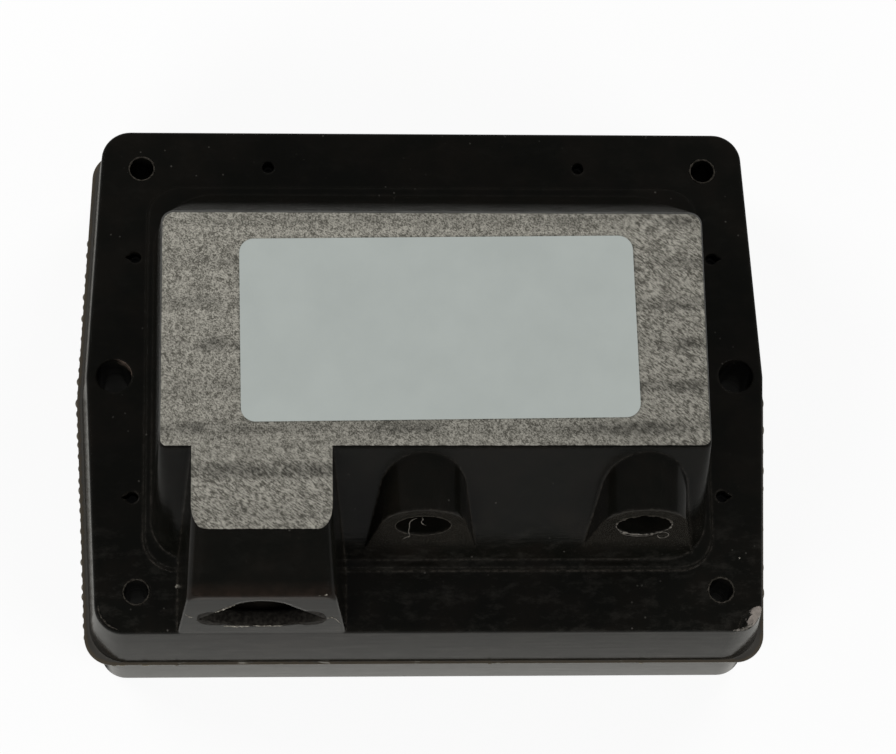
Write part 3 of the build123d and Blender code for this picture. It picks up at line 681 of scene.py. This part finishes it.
def strand(points, thickness, raggedness):
    """A thin strand through points, its ends pointed and its skin as ragged as said."""
    bpy.ops.object.select_all(action="DESELECT")
    bpy.ops.curve.primitive_nurbs_path_add()
    curve = bpy.context.object
    line = curve.data.splines[0]
    line.points.add(len(points) - len(line.points))
    for index, (point, place) in enumerate(zip(line.points, points)):
        point.co = (*place, 1)
        point.radius = 0.35 if index in (0, len(points) - 1) else 1.0
    line.order_u = 3
    line.use_endpoint_u = True
    curve.data.resolution_u = 6
    curve.data.bevel_depth = thickness
    curve.data.bevel_resolution = 2
    curve.data.use_fill_caps = True
    bpy.ops.object.convert(target="MESH")
    displaced(bpy.context.object, 0.0005, thickness * raggedness)
    return bpy.context.object


for name, (thickness, lines) in hairs.items():
    strands = []
    for line in lines:
        placed = [(x, tower_face + (z - socket_axis) * tan(tower_lean) - face_off, z) for x, z in line]
        strands.append(strand(placed, thickness, 1.5))
    gathered(strands, name, resins["lifted"])

edges = []
for thickness, line in mouth_edges:
    placed = [(x, hood_face_y + (z - flange_top) * tan(hood_lean), z) for x, z in line]
    edges.append(strand(placed, thickness, 3.0))
gathered(edges, "mouth_edge", resins["torn"])

for name, tone, thickness, z, line in slivers:
    placed = [(x, y, z) for x, y in line]
    gathered([strand(placed, thickness, 2.5)], name, resins[tone])

# Crumbs: flecks of torn resin and dust, stuck to the hood and to the flange where they fell. Each
# row gives its place, length, width and turn in degrees.
crumb_height = 0.00012
crumbs = (
    (-0.0474, -0.0413, 0.03005, 0.00045, 0.00026, 50),
    (-0.0213, -0.0484, 0.05182, 0.0004, 0.0002, 0),
    (-0.0201, -0.0484, 0.05182, 0.0003, 0.0002, 10),
    (0.0588, -0.0362, 0.03002, 0.00016, 0.00014, 0),
)
bpy.ops.object.select_all(action="DESELECT")
bpy.ops.mesh.primitive_ico_sphere_add(subdivisions=3, radius=1)
crumb = bpy.context.object
displaced(crumb, 0.6, 0.5)
places = []
for x, y, z, long, wide, turned in crumbs:
    shape = Matrix.Rotation(radians(turned), 4, "Z") @ Matrix.Diagonal((long, wide, crumb_height, 1))
    places.append(Matrix.Translation((x, y, z)) @ shape)
gathered(copied(crumb, places), "crumbs", resins["torn"])

# Filling resin: poured in from below until it stands just under the rim, a dark casting with a
# satin skin that is slightly wavy and creeps up where it meets the walls.
resin = new_material("filling_resin", (0.03, 0.024, 0.018), 0.3)
resin_cloud = spread(resin, grain(resin, 0.011, detail=5), 0.3, 0.7)
resin_colour = blend(resin, resin_cloud, (0.022, 0.017, 0.013), (0.045, 0.036, 0.028))
resin_wave = grain(resin, 0.012, detail=2)
to_shader(resin, Base_Color=resin_colour, Roughness=spread(resin, resin_cloud, 0, 1, 0.22, 0.4))
to_shader(resin, Normal=bump(resin, resin_wave, 0.0006))
dress(("potting_compound",), resin)

# Rating label: a pale blue-grey foil stuck on the ground face, left unprinted, with faint handling
# marks.
label_foil = new_material("label_foil", (0.366, 0.392, 0.371), 0.5)
handling = spread(label_foil, grain(label_foil, 0.009, detail=5), 0.35, 0.7)
label_colour = blend(label_foil, handling, (0.402, 0.434, 0.415), (0.38, 0.411, 0.393))
foil_wave = grain(label_foil, 0.0005, detail=3)
to_shader(label_foil, Base_Color=label_colour, Normal=bump(label_foil, foil_wave, 0.00002))
dress(("rating_label",), label_foil)

# Floor: one plain pale sheet under the object, white to the camera with the object's shadow kept.
# Reflections see it glow, a painted pool of light bright close by and dimmer further out, with a painted
# shadow under the object.
floor_colour = (0.9, 0.9, 0.895)
camera_share = 0.9
mirror_share = 0.9
near_glow = 0.74
far_glow = 0.085
painted_shadow_glow = 0.04
glow_reach = 0.0105
glow_colour = (1.0, 0.985, 0.925)
under_half_sizes = {"X": 0.0635, "Y": 0.05}
floor_size = 6
floor_gap = 0.0001

bpy.ops.mesh.primitive_plane_add(size=floor_size, location=(0, 0, -floor_gap))
bpy.ops.object.transform_apply(location=True, rotation=False, scale=False)
floor = bpy.context.object
floor.name = "floor"
floor_paper = new_material("floor_paper", floor_colour, 0.9)
shader = floor_paper.node_tree.nodes["Principled BSDF"]
shader.inputs["Specular IOR Level"].default_value = 0
outside = []
for letter, half in under_half_sizes.items():
    side = math(floor_paper, "ABSOLUTE", axis_of(floor_paper, letter))
    side = math(floor_paper, "MAXIMUM", math(floor_paper, "SUBTRACT", side, half), 0.0)
    outside.append(math(floor_paper, "POWER", side, 2.0))
away = math(floor_paper, "SQRT", math(floor_paper, "ADD", *outside))
fall = math(floor_paper, "EXPONENT", math(floor_paper, "DIVIDE", away, -glow_reach))
glow = math(floor_paper, "ADD", math(floor_paper, "MULTIPLY", fall, near_glow - far_glow), far_glow)
# Painted shadow: the glow drops to a dim level under the object's footprint.
glow = math(floor_paper, "MULTIPLY", glow, spread(floor_paper, away, 0.0003, 0.0015, painted_shadow_glow, 1))
rays = node(floor_paper, "LightPath").outputs
strength = math(floor_paper, "MAXIMUM", rays["Is Camera Ray"], glow)
tint = blend(floor_paper, rays["Is Camera Ray"], glow_colour, (1, 1, 1))
white = node(floor_paper, "Emission", {"Color": tint, "Strength": strength}).outputs["Emission"]
mirrored = math(floor_paper, "MAXIMUM", rays["Is Glossy Ray"], rays["Is Transmission Ray"])
mirrored = math(floor_paper, "MULTIPLY", mirrored, mirror_share)
seen = math(floor_paper, "MULTIPLY", rays["Is Camera Ray"], camera_share)
share = math(floor_paper, "MAXIMUM", seen, mirrored)
lit = node(floor_paper, "MixShader", {"Fac": share, 1: shader.outputs["BSDF"], 2: white}).outputs["Shader"]
output = floor_paper.node_tree.nodes["Material Output"]
floor_paper.node_tree.links.new(lit, output.inputs["Surface"])
floor.data.materials.append(floor_paper)

# Light: four large soft panels round the object, left out of its reflections, in which the moulding
# shows only the floor and a dim dome, as in the photograph.
lamp_distance = 0.95
lamp_size = 0.5
lamp_powers = {-35: 5.4, 55: 4.6, 145: 4.9, 235: 5.3}
lamp_height_angle = radians(29)
for bearing, power in lamp_powers.items():
    turned = radians(bearing)
    level = lamp_distance * cos(lamp_height_angle)
    spot = Vector((level * sin(turned), -level * cos(turned), lamp_distance * sin(lamp_height_angle)))
    aim = (-spot).to_track_quat("-Z", "Y").to_euler()
    bpy.ops.object.light_add(type="AREA", location=spot, rotation=aim)
    lamp = bpy.context.object
    lamp.name = f"soft_panel_{bearing}"
    lamp.data.size = lamp_size
    lamp.data.energy = power
    lamp.visible_glossy = False

room_level = 0.05
world = bpy.data.worlds.new("studio")
bpy.context.scene.world = world
world.use_nodes = True
backdrop = world.node_tree.nodes["Background"]
backdrop.inputs["Color"].default_value = (1, 1, 1, 1)
room_rays = world.node_tree.nodes.new("ShaderNodeLightPath")
room = world.node_tree.nodes.new("ShaderNodeMapRange")
room.inputs["To Min"].default_value = room_level
world.node_tree.links.new(room_rays.outputs["Is Camera Ray"], room.inputs["Value"])
world.node_tree.links.new(room.outputs["Result"], backdrop.inputs["Strength"])

# Camera: high over the front left of the object, long lens, rolled a little.
camera_bearing = radians(-11.192)
camera_rise = radians(71.894)
camera_roll = radians(-10.691)
camera_distance = 0.6
camera_target = Vector((0.004085, -0.000194, flange_top))
camera_lens = 125.547
sensor_width = 36
level_back = Vector((sin(camera_bearing), -cos(camera_bearing), 0))
back = level_back * cos(camera_rise) + Vector((0, 0, sin(camera_rise)))
level_right = Vector((cos(camera_bearing), sin(camera_bearing), 0))
level_up = back.cross(level_right)
right = cos(camera_roll) * level_right - sin(camera_roll) * level_up
up = sin(camera_roll) * level_right + cos(camera_roll) * level_up
turn = Matrix((right, up, back)).transposed().to_euler()
bpy.ops.object.camera_add(location=camera_target + camera_distance * back, rotation=turn)
camera = bpy.context.object
camera.data.sensor_width = sensor_width
camera.data.lens = camera_lens
bpy.context.scene.camera = camera
bpy.context.scene.view_settings.view_transform = "Standard"
